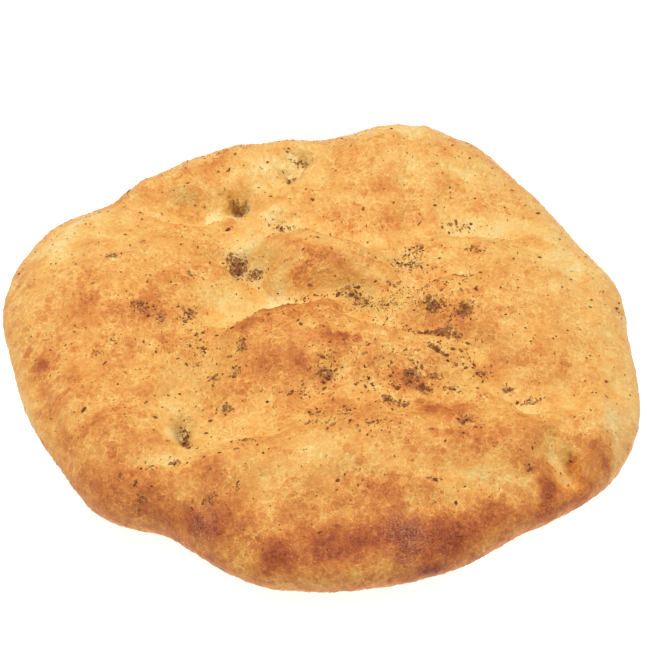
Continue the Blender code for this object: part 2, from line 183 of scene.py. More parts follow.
# Where dried oregano gathered: x, y, half length, half width in mm, turn in degrees, flakes
HERB_DRIFTS = (
    (-36, 36, 7, 4.5, -40, 56), (-27, 28, 5, 2.5, -10, 16), (-75, -3, 5, 4, 0, 16),
    (-67, -6, 4, 4, 0, 10), (-54, -67, 2.5, 7, 10, 30), (21, 10, 9, 5, -35, 26), (15, 12, 6, 2, 0, 8),
    (51, 1, 6, 4, -10, 40), (65, -3, 4, 4, 0, 16), (51, -13, 19, 2.2, -19, 66), (62, -7, 7, 4, -10, 20),
    (41, -39, 4, 5, 0, 30), (46, -46, 4, 3, 0, 18), (50, -39, 3, 2, 0, 8), (30, -53, 3, 2.5, 0, 12),
    (36, -54, 3, 2, 0, 8), (62, -66, 4, 2.5, 15, 16), (71, -36, 4, 3, 0, 16), (82, -43, 3.5, 3, 0, 10),
    (90, -48, 6, 1.5, 10, 10), (41, 31, 8, 5, 12, 34), (45, 39, 5, 4, 0, 14), (37, 17, 6, 3, 0, 10),
    (-14, 58, 6, 3, 5, 12), (-8, 100, 6, 2.5, -40, 16), (-13, 92, 1.5, 4, -10, 6), (-35, 73, 3, 3, 0, 6),
    (28, -40, 34, 20, 0, 70), (60, 8, 24, 20, 0, 36), (4, -40, 4, 4, 0, 16), (-38, -55, 4, 3, 0, 14),
    (-43, -36, 3, 3, 0, 9), (-34, -36, 3, 3, 0, 9), (-32, -24, 3, 3, 0, 9), (-55, -1, 4, 4, 0, 14),
    (-90, 28, 3, 2, 0, 7), (-56, 22, 2.5, 2, -40, 6), (0, -60, 5, 3, 0, 9), (12, -61, 5, 3, 0, 9),
    (51, -26, 5, 2, -35, 12), (57, -45, 5, 3, -20, 8), (87, -88, 2.5, 1.5, 0, 4), (48, -96, 2.5, 1, 0, 4),
    (-42, -105, 4, 3, 0, 8), (-32, -102, 4, 3, 0, 6), (-71, -101, 1.5, 2, 0, 6),
    (-73, -95, 1.5, 1.5, 0, 4), (-7, -47, 5, 4, 0, 10), (65, 56, 7, 4, 0, 11), (71, 36, 4, 4, 0, 8),
    (134, 10, 2, 4, 0, 5), (-3, 11, 8, 1.5, 0, 7), (6, -32, 5, 3, 0, 9), (-86, -21, 4, 3, 0, 5),
    (-92, -26, 3, 3, 0, 5), (-29, -78, 4, 2, 0, 7), (-57, -86, 5, 2, 0, 8), (-67, -88, 4, 2, 0, 6),
    (2, -66, 8, 4, 0, 12), (27, -72, 8, 5, 0, 12), (50, 16, 6, 1, 8, 9), (65, 20, 3, 1, 8, 5),
    (60, -26, 12, 6, -20, 16), (-50, -20, 6, 14, 10, 16),
)
DRIFT_SPREAD = 0.48
LOOSE_FLAKES = 560
FLAKE_SEED = 11
FLAKE_LENGTH = 1.2 * MM
FLAKE_SPREAD = 0.48
FLAKE_LIMITS = (0.5 * MM, 3.4 * MM)
FLAKE_NARROWNESS = (0.3, 0.6)
# Loose flakes and crumbs lie within this share of the rim's reach, denser in the middle
LOOSE_REACH = 0.97
LOOSE_SPREAD = 0.6

# Where the crust is browner or paler than its base tone, on the flattened crust:
# x, y, half length, half width in mm, turn in degrees, change of tone
BASE_TONE = 0.48
TONES = (
    (3, 23, 13, 7, -12, 0.12), (32, 62, 18, 9, -5, 0.02), (-7, 19, 5, 1.6, 10, 0.26),
    # Painted light: the paler ovals at (-16, 18) and (-20, 26) brighten the middle mound's front-left
    # flank, which the lamps light less
    (-56, -41, 7, 7, 0, 0.1), (-16, 18, 8, 9, 0, -0.12), (31, 74, 9, 5, -8, 0.2), (18, 62, 9, 6, 0, 0.05),
    (35, 55, 7, 5, 0, 0.12), (49, 57, 6, 5.5, 0, 0.1), (-49, 85, 20, 8, 20, 0.12),
    (64, 99, 9, 8, 0, 0.08), (64, 75, 6, 5, 0, 0.08), (94, 43, 11, 4, 0, 0.2), (-72, -2, 11, 8, 0, 0.24),
    (-30, -14, 7, 5, 20, 0.1), (-16, 2, 13, 4, 5, 0.26), (-24, 12, 8, 5, 0, 0.1),
    (-90, -25, 28, 36, 0, 0.1), (-46, -36, 16, 34, 0, 0.1), (-10, -28, 26, 14, 0, 0.06),
    (-7, 33, 6, 2, 20, 0.16), (6, -19, 9, 6, -10, 0.16), (-5, -35, 6, 5, 0, 0.26),
    (-21, -37, 14, 11, 0, 0.2), (4, -41, 6, 5, 0, 0.16), (38, -40, 10, 7, 0, 0.18),
    (-118, -30, 5, 6, 0, 0.3), (-128, -50, 5, 20, 20, -0.22), (-34, 12, 12, 10, 0, -0.02),
    (-109, -28, 14, 26, 10, 0.1), (-89, -76, 20, 26, 0, 0.09), (-78, -97, 18, 12, 0, 0.07),
    (-45, -93, 9, 5, 0, 0.14), (-41, -102, 7, 6, 0, 0.22), (-47, -114, 12, 9, 0, 0.18),
    (-16, -129, 8, 9, 0, 0.2), (14, -124, 40, 11, 0, 0.08), (50, -118, 18, 10, 10, 0.2),
    (6, -110, 22, 12, 0, 0.1), (66, -109, 11, 8, 10, 0.06), (97, -93, 5, 6, 0, 0.26),
    (101, -81, 10, 3.5, -63, -0.26), (103, -99, 13, 6, 20, 0.1), (118, -74, 8, 11, 0, 0.2),
    (124, -81, 4, 4, 0, 0.2), (84, -73, 13, 10, 0, 0.03), (47, -87, 9, 6, 0, 0.14),
    (-20, 26, 6, 10, 0, -0.1), (12, -21, 9, 2, -8, 0.26), (37, 26, 9, 8, 0, -0.06),
    (-57, 66, 7, 5, 0, 0.04), (-5, 101, 3, 5, -38, 0.15), (-12, 92, 2.5, 4, -25, 0.2),
    (-29, 11, 18, 8, 0, -0.26), (-57, -48, 11, 28, 5, -0.2), (-65, -84, 14, 5, 0, -0.26),
    (28, 4, 15, 8, -10, -0.12), (79, 57, 22, 6, 0, -0.26), (-107, 55, 14, 12, 40, -0.25),
    (39, 109, 18, 7, -5, -0.28), (2, -89, 27, 8, 0, -0.12), (67, -91, 20, 2.5, -8, -0.12),
    (131, -35, 6, 28, 8, -0.1), (-118, -56, 5, 26, 20, -0.18), (-46, 64, 5, 3.5, 0, -0.5),
    (-37, 63, 4, 2, 0, -0.5), (-62, 76, 12, 8, 20, -0.12), (-30, 84, 20, 12, 25, -0.2),
    (-12, 98, 12, 10, -38, -0.2), (73, 88, 16, 12, -30, -0.2), (42, 84, 18, 12, 0, -0.14),
    (-26, 57, 14, 9, 0, -0.2), (107, 40, 17, 14, -40, -0.22), (114, 12, 13, 24, 10, -0.06),
    (119, -58, 12, 10, 0, -0.18), (-98, -3, 10, 8, 0, 0.14), (-18, -8, 12, 5, 5, 0.16),
    (2, -3, 14, 7, 0, 0.14), (-62, -15, 8, 9, 0, 0.14), (11, -27, 8, 5, 0, 0.14),
    (30, -36, 9, 7, 0, 0.14), (51, -43, 9, 8, 0, 0.2), (77, -32, 10, 6, 0, 0.14),
    (2, -55, 20, 6, 0, 0.18), (50, -58, 15, 7, 0, 0.25), (66, -77, 15, 12, 0, 0.22),
    (82, -62, 9, 6, 0, 0.12), (90, -86, 7, 4, 0, 0.16), (58, -10, 10, 6, 0, 0.14),
    (-17, -72, 8, 16, 0, 0.12), (32, -108, 17, 13, 0, 0.2), (116, -95, 6, 6, 0, 0.14),
    (44, 25, 5, 5, 0, 0.14), (11, -122, 13, 8, 0, 0.16), (-34, -112, 15, 9, 0, 0.24),
    (-66, -104, 9, 9, 0, 0.16), (96, -105, 10, 5, 0, 0.14), (-115, -52, 9, 12, 0, 0.12),
    (50, -134, 8, 4, 0, 0.2), (-30, 38, 12, 10, 0, -0.22), (5, 33, 15, 4, -18, -0.2),
    (20, 22, 10, 5, -28, -0.18), (16, 6, 18, 6, -20, 0.06), (49, -3, 11, 7, 0, 0.28),
    (63, -15, 8, 5, 0, 0.15), (36, -43, 10, 6, 0, 0.16), (54, -60, 10, 8, 0, 0.14),
    (53, -24, 6, 4, 0, -0.2), (-5, -46, 8, 5, 0, 0.12), (72, -36, 7, 6, 0, 0.14),
    (-24, -12, 9, 9, 0, 0.14), (-62, -20, 6, 6, 0, 0.12), (-40, -45, 9, 6, 0, 0.12),
    (-99, 1, 8, 5, 0, 0.13), (33, -80, 12, 6, 0, 0.14), (30, -99, 18, 6, 0, 0.12),
    (-5, -113, 14, 9, 0, 0.14), (74, -106, 9, 6, 0, 0.12), (-92, -72, 7, 8, 0, 0.12),
    (-78, -80, 7, 9, 0, 0.1), (-65, -96, 7, 5, 0, 0.12), (98, -52, 9, 5, 0, 0.06),
    (52, -10, 8, 5, 0, 0.06), (16, -62, 14, 10, 0, 0.15), (-74, -86, 9, 9, 0, 0.18),
    (-120, 40, 10, 15, 20, -0.24), (-103, -28, 9, 12, 0, -0.13), (130, -70, 8, 12, 0, -0.15),
    (-30, -131, 9, 7, 0, -0.13), (20, -135, 16, 5, 0, -0.13), (6, 68, 9, 5, 0, -0.1),
    (17, -95, 10, 6, 0, 0.12), (-62, 18, 9, 8, 0, 0.15), (-27, 17, 8, 8, 0, 0.14),
    # Painted shade: the browner oval at (-59, 67) stands for the shade in the pit there
    (-59, 67, 8, 4.5, 0, 0.3), (-41, 19, 8, 7, 0, -0.12), (-7, 14, 6, 4, 0, 0.12),
    (-32, 40, 7, 6, 0, -0.12), (8, -18, 6, 4, 0, -0.1), (-37, -22, 6, 6, 0, -0.12),
    (-8, 24, 9, 6, -20, -0.12), (-60, 74, 6, 3, 10, -0.12), (34, 36, 5, 4, 0, -0.12),
    (-40, -118, 8, 6, 0, -0.14), (0, -142, 34, 5, 0, -0.1), (30, -118, 10, 8, 0, 0.1),
    (-60, -70, 5, 6, 0, -0.14), (102, -83, 5, 6, 0, -0.14), (-34, 78, 6, 4, 0, 0.14),
    (69, 40, 12, 8, 0, -0.12), (104, 12, 8, 8, 0, -0.1), (119, -8, 9, 8, 0, -0.09),
    (138, -44, 5, 9, 0, -0.18), (56, 56, 7, 5, 0, -0.12), (69, 43, 7, 5, 0, -0.12),
    (72, -83, 9, 5, 0, -0.12), (-16, 62, 9, 6, 0, -0.2), (-27, 95, 10, 9, 0, -0.12),
    (-26, 44, 12, 6, 20, -0.14), (8, 5, 12, 6, -10, 0.1), (-34, -117, 8, 6, 0, 0.1),
    (-80, 0, 6, 5, 0, -0.1), (-6, 105, 10, 5, -30, -0.24),
)

# How much the crust browns down its side, at each bearing in degrees from +X towards +Y
SIDE_TONES = (
    (0, -0.1), (30, -0.06), (60, 0.05), (90, 0.12), (130, 0.12), (150, 0.08), (180, 0.05), (200, 0.12),
    (215, 0.18), (230, 0.24), (245, 0.26), (255, 0.28), (270, 0.28), (290, 0.28), (305, 0.24), (318, 0.2),
    (330, 0.1), (345, -0.06),
)
SIDE_TOP = 33 * MM
SIDE_FULL = 22 * MM
BASE_BAND = 9 * MM
BASE_BAND_TONE = -0.28
UNDERSIDE_TONE = 0.66
# The shares of the rim's reach between which the top turns into the side
OUTER_SHARES = (0.8, 0.93)

# How far the tone follows the relief: paler in valleys, browner on swellings
RELIEF_REACH = 10 * MM
RELIEF_FULL = 5 * MM
RELIEF_TONE = 0.22
# The grid that the relief is averaged on: how far it goes from the middle, and its step
RELIEF_SIDE = 160 * MM
RELIEF_STEP = 2 * MM

# Where oil and herbs tinted the pale crust olive, together with painted shade in some hollows, such as
# behind and in front of the middle mound; where the deep pits and grooves get painted shade; and where
# flour dusts it
OILED_AND_SHADED = (
    (-58, 67, 9, 5, 5, 0.45), (-37, 73, 8, 6, 0, 0.35), (-7, 100, 6, 3, -40, 0.7),
    (-13, 92, 3, 6, -10, 0.45), (-14, 59, 8, 4, 8, 0.25), (18, 13, 12, 5, -20, 0.35),
    (26, 34, 7, 3, -38, 0.6), (-35, 34, 12, 8, -35, 0.45), (105, -79, 10, 2.5, -63, 0.2),
    (79, 56, 20, 5, 0, 0.25), (26, 6, 18, 7, -10, 0.5), (48, -3, 8, 5, 0, 0.2),
    (-54, -66, 4.5, 12, 8, 0.4), (62, -40, 12, 7, -20, 0.3), (-50, -40, 12, 26, 5, 0.34),
    (-36, 16, 16, 10, 0, 0.34),
)
# Painted shade: the crust drawn darker brown in the deep pits and along the grooves, where shade falls
PAINTED_HOLLOW_SHADE = (
    (-35, 73.5, 5.5, 4.5, 20, 0.85), (-7, 100.5, 6, 2, -42, 0.45), (-13, 92, 1.5, 5, -10, 0.4),
    (-54, -67, 2.8, 8, 8, 0.65), (-36, 36, 4, 3, -40, 0.4), (107, -80, 8, 1.5, -63, 0.62),
)
FLOURED = (
    (38, -118, 14, 15, 0, 0.5), (-45, -116, 9, 14, 0, 0.45), (10, -132, 40, 6, 0, 0.3),
    (-66, -6, 12, 8, 0, 0.25),
)


def rim_table():
    """The rim's reach at every half degree, with the corners between its bearings eased."""
    bearings = np.arange(0, 360, RIM_STEP)
    reach = np.interp(bearings, [r[0] for r in RIM], [r[1] for r in RIM], period=360)
    offsets = np.arange(-RIM_BLUR_STEPS, RIM_BLUR_STEPS + 1)
    weights = np.exp(-(offsets * RIM_STEP / RIM_BLUR) ** 2)
    eased = sum(w * np.roll(reach, i) for i, w in zip(offsets, weights)) / weights.sum()
    return bearings, eased * MM


RIM_BEARINGS, RIM_REACH = rim_table()


def rim_reach(bearing):
    return np.interp(np.degrees(bearing), RIM_BEARINGS, RIM_REACH, period=360)


def oval_distance(x, y, centre_x, centre_y, half_length, half_width, turn):
    """How far a point is from the middle of a turned oval, where 1 is on its edge."""
    along, across = math.cos(math.radians(turn)), math.sin(math.radians(turn))
    dx, dy = x - centre_x * MM, y - centre_y * MM
    return np.hypot(
        (dx * along + dy * across) / (half_length * MM),
        (dy * along - dx * across) / (half_width * MM),
    )


def eased_path(points):
    """The path with its corners cut, again and again, so that it runs as a curve."""
    path = np.array(points, float) * MM
    for _ in range(PATH_EASINGS):
        near = 0.75 * path[:-1] + 0.25 * path[1:]
        far = 0.25 * path[:-1] + 0.75 * path[1:]
        path = np.concatenate([path[:1], np.stack([near, far], 1).reshape(-1, 2), path[-1:]])
    return path


def path_place(x, y, points):
    """How far each point lies left of a path, less than 0 on its right, and a fade towards its ends."""
    path = eased_path(points)
    steps = np.diff(path, axis=0)
    lengths = np.hypot(*steps.T)
    starts = np.concatenate([[0], np.cumsum(lengths)])
    nearest = np.full(np.shape(x), np.inf)
    side = np.zeros(np.shape(x))
    way = np.zeros(np.shape(x))
    for (x0, y0), (dx, dy), length, start in zip(path, steps, lengths, starts):
        share = np.clip(((x - x0) * dx + (y - y0) * dy) / length ** 2, 0, 1)
        off_x, off_y = x - x0 - share * dx, y - y0 - share * dy
        distance = np.hypot(off_x, off_y)
        closer = distance < nearest
        nearest = np.where(closer, distance, nearest)
        side = np.where(closer, dx * off_y - dy * off_x, side)
        way = np.where(closer, (start + share * length) / starts[-1], way)
    return np.where(side > 0, nearest, -nearest), np.sin(math.pi * way) ** PATH_FADE


def valley_share(x, y, right_width, left_width, points):
    """A valley's share of its depth, from 0 away from it to 1 along the middle of its path."""
    left, fade = path_place(x, y, points)
    width = np.where(left > 0, left_width, right_width) * MM
    return fade * np.exp(-(left / width) ** 2)


def crease_share(x, y, flap_width, floor_width, points):
    """A crease's share of its depth: the flap drops to it in a quarter round, the floor rises softly."""
    left, fade = path_place(x, y, points)
    away = np.hypot(left, CREASE_SOFTNESS) - CREASE_SOFTNESS
    down = np.clip(1 - away / (flap_width * MM), 0, 1)
    flap = 1 - np.sqrt(1 - down ** 2)
    floor = np.exp(-(away / (floor_width * MM)) ** FLOOR_SHARPNESS)
    return fade * np.where(left > 0, floor, flap)


def wave_sum(x, y, seed, count, lengths, rise):
    """Uneven ground: the sum of waves with chance directions, lengths and phases."""
    draw = np.random.default_rng(seed)
    total = np.zeros(np.shape(x))
    for _ in range(count):
        turn, phase = draw.uniform(0, 2 * math.pi, 2)
        pitch = 2 * math.pi / draw.uniform(*lengths)
        total = total + np.cos(pitch * (x * math.cos(turn) + y * math.sin(turn)) + phase)
    return rise * total


def crust_height(x, y):
    """The height of the top crust over the underside, before the side rounds it off."""
    height = BODY_HEIGHT + wave_sum(x, y, SWELL_SEED, SWELLS, SWELL_LENGTHS, SWELL_RISE)
    wandered = [place + wave_sum(x, y, WANDER_SEED + i, WANDERS, WANDER_LENGTHS, WANDER_REACH)
                for i, place in enumerate((x, y))]
    for *oval, rise in PILLOWS:
        height = height + rise * MM * np.exp(-oval_distance(*wandered, *oval) ** PILLOW_FULLNESS)
    for right_width, left_width, depth, points in VALLEYS:
        height = height - depth * MM * valley_share(*wandered, right_width, left_width, points)
    for flap_width, floor_width, depth, points in CREASES:
        height = height - depth * MM * crease_share(*wandered, flap_width, floor_width, points)
    for *oval, depth, steepness in PITS:
        height = height - depth * MM * np.exp(-oval_distance(*wandered, *oval) ** steepness)
    return np.maximum(height, LEAST_THICKNESS)


def ring_bearings(count):
    return np.arange(count) * 2 * math.pi / count


def top_ring(count, share):
    """Points of the top crust at a share of the rim's reach."""
    bearing = ring_bearings(count)
    x = share * rim_reach(bearing) * np.cos(bearing)
    y = share * rim_reach(bearing) * np.sin(bearing)
    rounding = (1 - share ** SHOULDER_FULLNESS) ** (1 / SHOULDER_ROUNDNESS)
    return np.stack([x, y, WIDEST_HEIGHT + (crust_height(x, y) - WIDEST_HEIGHT) * rounding], axis=1)


def under_ring(count, share):
    """Points of the underside and of the curl up to the widest line, at a share of the reach."""
    bearing = ring_bearings(count)
    reach = rim_reach(bearing)
    flat_share = 1 - UNDERSIDE_INSET / reach
    out = np.clip((share - flat_share) / (1 - flat_share), 0, 1)
    curl = 1 - (1 - out ** CURL_ROUNDNESS) ** (1 / CURL_ROUNDNESS)
    x = share * reach * np.cos(bearing)
    y = share * reach * np.sin(bearing)
    return np.stack([x, y, WIDEST_HEIGHT * curl], axis=1)


def side_shares():
    """Shares of the reach that space the shoulder's rings evenly along its curve."""
    fine = np.linspace(SHOULDER_START, 1, SIDE_SAMPLES)
    height = (BODY_HEIGHT - WIDEST_HEIGHT) * (1 - fine ** SHOULDER_FULLNESS) ** (1 / SHOULDER_ROUNDNESS)
    steps = np.hypot(np.diff(fine) * RIM_REACH.mean(), np.diff(height))
    length = np.concatenate([[0], np.cumsum(steps)])
    return np.interp(np.linspace(0, length[-1], SIDE_BANDS + 1)[1:], length, fine)


def body_rings():
    """The loaf's rings of points, from the middle of the top, over the side, to the middle below."""
    rim_points = RING_GROWTH * TOP_RINGS
    rings = [top_ring(max(1, RING_GROWTH * k), SHOULDER_START * k / TOP_RINGS)
             for k in range(TOP_RINGS + 1)]
    rings += [top_ring(rim_points, share) for share in side_shares()]
    flat_share = 1 - UNDERSIDE_INSET / RIM_REACH.mean()
    for k in range(1, CURL_BANDS + 1):
        out = math.cos(math.pi / 2 * k / CURL_BANDS) ** (2 / CURL_ROUNDNESS)
        rings.append(under_ring(rim_points, flat_share + (1 - flat_share) * out))
    count, share = rim_points, flat_share
    while count > UNDER_RING_LEAST:
        count = count // 2
        share = share * UNDER_RING_SHARE
        rings.append(under_ring(count, share))
    rings.append(under_ring(1, 0))
    return rings


def ring_faces(first, second, first_start, second_start):
    """Triangles between two rings of any counts, taken in turn by bearing."""
    faces = []
    i = j = 0
    while i < first * (first > 1) or j < second * (second > 1):
        a, b = first_start + i % first, second_start + j % second
        if first == 1 or (second > 1 and (j + 1) * first <= (i + 1) * second):
            faces.append((a, b, second_start + (j + 1) % second))
            j += 1
        else:
            faces.append((a, b, first_start + (i + 1) % first))
            i += 1
    return faces


def flattened(rings):
    """The rings' points spread out on a plane: over the side, each goes as far out as the crust runs."""
    flats = []
    for ring, before in zip(rings, rings[:1] + rings):
        spread = ring[:, :2]
        if flats and len(ring) == len(before):
            bearing = ring_bearings(len(ring))
            outward = np.stack([np.cos(bearing), np.sin(bearing)], axis=1)
            step = np.linalg.norm(ring - before, axis=1)
            spread = flats[-1] + outward * step[:, None]
        flats.append(spread)
    return flats


# Chance variation repeats after this many of its hills or cells
NET = 256
CLOUD_GAIN = 1.6
CLOUD_TURN = 0.7
CELL_MARGIN = 0.1


def eased(near):
    """A weight that rises smoothly from 0 to 1 with nearness."""
    return near ** 3 * (near * (near * 6 - 15) + 10)


def cloud(u, v, size, seed):
    """Smooth chance variation, from about -1 to 1, with hills about as far apart as the size."""
    lean = np.random.default_rng(seed).uniform(0, 2 * math.pi, (NET, NET))
    turn = seed * CLOUD_TURN
    along = (u * math.cos(turn) + v * math.sin(turn)) / size
    across = (v * math.cos(turn) - u * math.sin(turn)) / size
    column, row = np.floor(along).astype(int), np.floor(across).astype(int)
    s, t = along - column, across - row
    total = 0
    for i in (0, 1):
        for j in (0, 1):
            angle = lean[(column + i) % NET, (row + j) % NET]
            weight = eased(1 - abs(s - i)) * eased(1 - abs(t - j))
            total = total + weight * ((s - i) * np.cos(angle) + (t - j) * np.sin(angle))
    return CLOUD_GAIN * total


def clouds(u, v, layers):
    """Clouds of several layers added up, each layer with its strength, size in mm and seed."""
    return sum(strength * cloud(u, v, size * MM, seed) for strength, size, seed in layers)


def cells(u, v, size, seed):
    """Scattered cells: how far the nearest middle is, how much nearer than the next, and its chance."""
    draw = np.random.default_rng(seed)
    middles = draw.uniform(CELL_MARGIN, 1 - CELL_MARGIN, (NET, NET, 2))
    chances = draw.uniform(0, 1, (NET, NET))
    column, row = np.floor(u / size).astype(int), np.floor(v / size).astype(int)
    first = np.full(np.shape(u), np.inf)
    second = np.full(np.shape(u), np.inf)
    chance = np.zeros(np.shape(u))
    for i in (-1, 0, 1):
        for j in (-1, 0, 1):
            place = (column + i) % NET, (row + j) % NET
            off_u = u / size - column - i - middles[place][..., 0]
            off_v = v / size - row - j - middles[place][..., 1]
            away = np.hypot(off_u, off_v)
            second = np.minimum(second, np.maximum(first, away))
            chance = np.where(away < first, chances[place], chance)
            first = np.minimum(first, away)
    return first, second - first, chance


def smooth_share(value, low, high):
    """0 below the low value and 1 above the high one, with a soft rise between."""
    share = np.clip((value - low) / (high - low), 0, 1)
    return share * share * (3 - 2 * share)


def grid_blur(grid, reach, step):
    """The grid averaged over its surroundings, with weights that fade with distance."""
    half = int(3 * reach / step)
    weights = np.exp(-(np.arange(-half, half + 1) * step / reach) ** 2)
    weights = weights / weights.sum()
    for axis in (0, 1):
        grid = np.apply_along_axis(np.convolve, axis, np.pad(grid, half, "edge"), weights, "same")
        grid = grid[half:-half, half:-half]
    return grid


def crest_share(x, y):
    """How far each place stands over its surroundings, or under them where negative, from -1 to 1."""
    line = np.arange(-RELIEF_SIDE, RELIEF_SIDE + RELIEF_STEP, RELIEF_STEP)
    ground = crust_height(*np.meshgrid(line, line, indexing="ij"))
    stands = ground - grid_blur(ground, RELIEF_REACH, RELIEF_STEP)
    column = np.clip((x + RELIEF_SIDE) / RELIEF_STEP, 0, len(line) - 1.001)
    row = np.clip((y + RELIEF_SIDE) / RELIEF_STEP, 0, len(line) - 1.001)
    i, j = column.astype(int), row.astype(int)
    u, v = column - i, row - j
    near = stands[i, j] * (1 - u) + stands[i + 1, j] * u
    far = stands[i, j + 1] * (1 - u) + stands[i + 1, j + 1] * u
    return np.clip((near * (1 - v) + far * v) / RELIEF_FULL, -1, 1)


OVAL_SHARPNESS = 3


def oval_sum(flat, ovals):
    """The sum of soft ovals on the flattened crust, each with its own strength."""
    total = np.zeros(len(flat))
    for *oval, strength in ovals:
        away = oval_distance(*flat.T, *oval)
        total = total + strength * np.exp(-away ** OVAL_SHARPNESS)
    return total


def crust_tone(points, flat):
    """How brown the crust is at each point, from 0, pale cream, to 1, dark red-brown."""
    x, y, z = points.T
    bearing = np.degrees(np.arctan2(y, x)) % 360
    side = np.interp(bearing, [t[0] for t in SIDE_TONES], [t[1] for t in SIDE_TONES], period=360)
    outer = smooth_share(np.hypot(x, y) / rim_reach(np.radians(bearing)), *OUTER_SHARES)
    tone = BASE_TONE + RELIEF_TONE * crest_share(x, y) * (1 - outer)
    tone = tone + side * outer * (1 - smooth_share(z, SIDE_FULL, SIDE_TOP))
    tone = tone + oval_sum(flat, TONES)
    tone = tone + BASE_BAND_TONE * (1 - smooth_share(z, BASE_BAND / 2, BASE_BAND))
    return np.where(z < MM, UNDERSIDE_TONE, tone)


# Where the crust crumpled and tore as fingertips pressed it
CRUMPLED = (
    (-57, 67, 9, 5, 5, 0.6), (-38, 72, 9, 7, 0, 0.9), (-9, 97, 7, 11, -35, 0.9), (-13, 58, 8, 5, 8, 0.5),
    (-37, 30, 9, 6, -35, 0.5),
)

# Layers of clouds: the strength, size in mm and seed of each
STIRS = (((2.6, 9, 21), (1.2, 3.5, 22)), ((2.6, 9, 23), (1.2, 3.5, 24)))
BROAD_LAYERS = ((1, 22, 1), (0.5, 11, 2))
MIDDLE_LAYERS = ((1, 8, 3), (0.5, 4, 4))
SMALL_LAYERS = ((1, 2.6, 5), (0.7, 1.4, 6))
STRETCHED_LAYERS = ((1, 1.5, 11), (0.6, 0.8, 12))
CRUMPLED_LAYERS = ((1, 3.2, 13), (0.6, 1.6, 14))

# Towards the rim, small relief is drawn out by this much, fully from the second distance on
STRETCH = 3.0
STRETCH_REACH = (85 * MM, 125 * MM)
STRETCHED_REST = 0.5

# Cells whose edges are pale veins, strongest where the tone is brown, and cells with a blister in
# their middle, where their luck is good
VEIN_CELL, VEIN_SEED = 4.6 * MM, 9
VEIN_WANDERS = (((2.4, 5, 7),), ((2.4, 5, 8),))
VEIN_WEAKEST, VEIN_WIDTH = 0.35, 0.3
VEINED_TONES = (0.4, 0.7)
BLISTER_CELL, BLISTER_SEED = 1.7 * MM, 10
BLISTER_LUCK, BLISTER_REACH = 0.6, 0.34

# How much each kind of chance variation raises the relief, in mm, and browns the crust; the blisters'
# paleness is a painted highlight
RELIEF_SHARES = {"middle": 0.28, "small": 0.2, "vein": -0.12, "blister": 0.22}
MOTTLE_SHARES = {
    "broad": 0.08, "middle": 0.1, "small": 0.07, "vein": -0.1, "chance": 0.09, "blister": -0.12,
}


def stirred(flat):
    """The flattened places shifted a little by chance, so that ovals get uneven edges."""
    shift = [clouds(*flat.T, layers) for layers in STIRS]
    return flat + np.stack(shift, axis=1) * MM


def shared_sum(kinds, shares):
    """The named kinds of variation, each times its share, added up."""
    return sum(share * kinds[kind] for kind, share in shares.items())


def crust_detail(flat, brown):
    """The crust's fine relief, and its mottling as a change of tone, at points on the flattened crust."""
    u, v = flat.T
    small = clouds(u, v, SMALL_LAYERS)
    outward = np.hypot(u, v)
    around = np.arctan2(v, u) * outward.mean()
    stretched = clouds(around, outward / STRETCH, STRETCHED_LAYERS) - STRETCHED_REST * small
    small = small + smooth_share(outward, *STRETCH_REACH) * stretched
    bent = [place + MM * clouds(u, v, layers) for place, layers in zip((u, v), VEIN_WANDERS)]
    _, gap, chance = cells(*bent, VEIN_CELL, VEIN_SEED)
    vein = (VEIN_WEAKEST + (1 - VEIN_WEAKEST) * brown) * (1 - smooth_share(gap, 0, VEIN_WIDTH))
    dot, _, luck = cells(u, v, BLISTER_CELL, BLISTER_SEED)
    blister = (luck > BLISTER_LUCK) * np.clip(1 - (dot / BLISTER_REACH) ** 2, 0, 1)
    torn = np.clip(oval_sum(flat, CRUMPLED), 0, 1)
    kinds = {"broad": clouds(u, v, BROAD_LAYERS), "middle": clouds(u, v, MIDDLE_LAYERS), "small": small,
             "vein": vein, "blister": blister, "chance": chance - 0.5}
    relief = shared_sum(kinds, RELIEF_SHARES) + torn * clouds(u, v, CRUMPLED_LAYERS)
    return relief * MM, shared_sum(kinds, MOTTLE_SHARES)


# How many flakes for each mm² of a drift's box stain the crust through
STAIN_FLAKES = 1.15


def herb_dust(flat):
    """How thick fine herb dust lies round the places where the flakes gathered."""
    drifts = [(x, y, length, width, turn, min(1, flakes / (length * width * STAIN_FLAKES)))
              for x, y, length, width, turn, flakes in HERB_DRIFTS]
    return np.clip(oval_sum(flat, drifts), 0, 1)


def give_values(mesh, name, values):
    mesh.attributes.new(name, "FLOAT", "POINT").data.foreach_set("value", values.astype(np.float32))


# The relief fades out between these heights, towards the flat underside
RELIEF_FADE = (MM, 4 * MM)
UNDERSIDE_FLOUR = 0.5
# The mottling's strength is this value less the tone, so that dark crust is calmer
MOTTLED_TONE = 1.35
LEAST_MOTTLE = 0.4
UNDERSIDE_CALM = 0.5


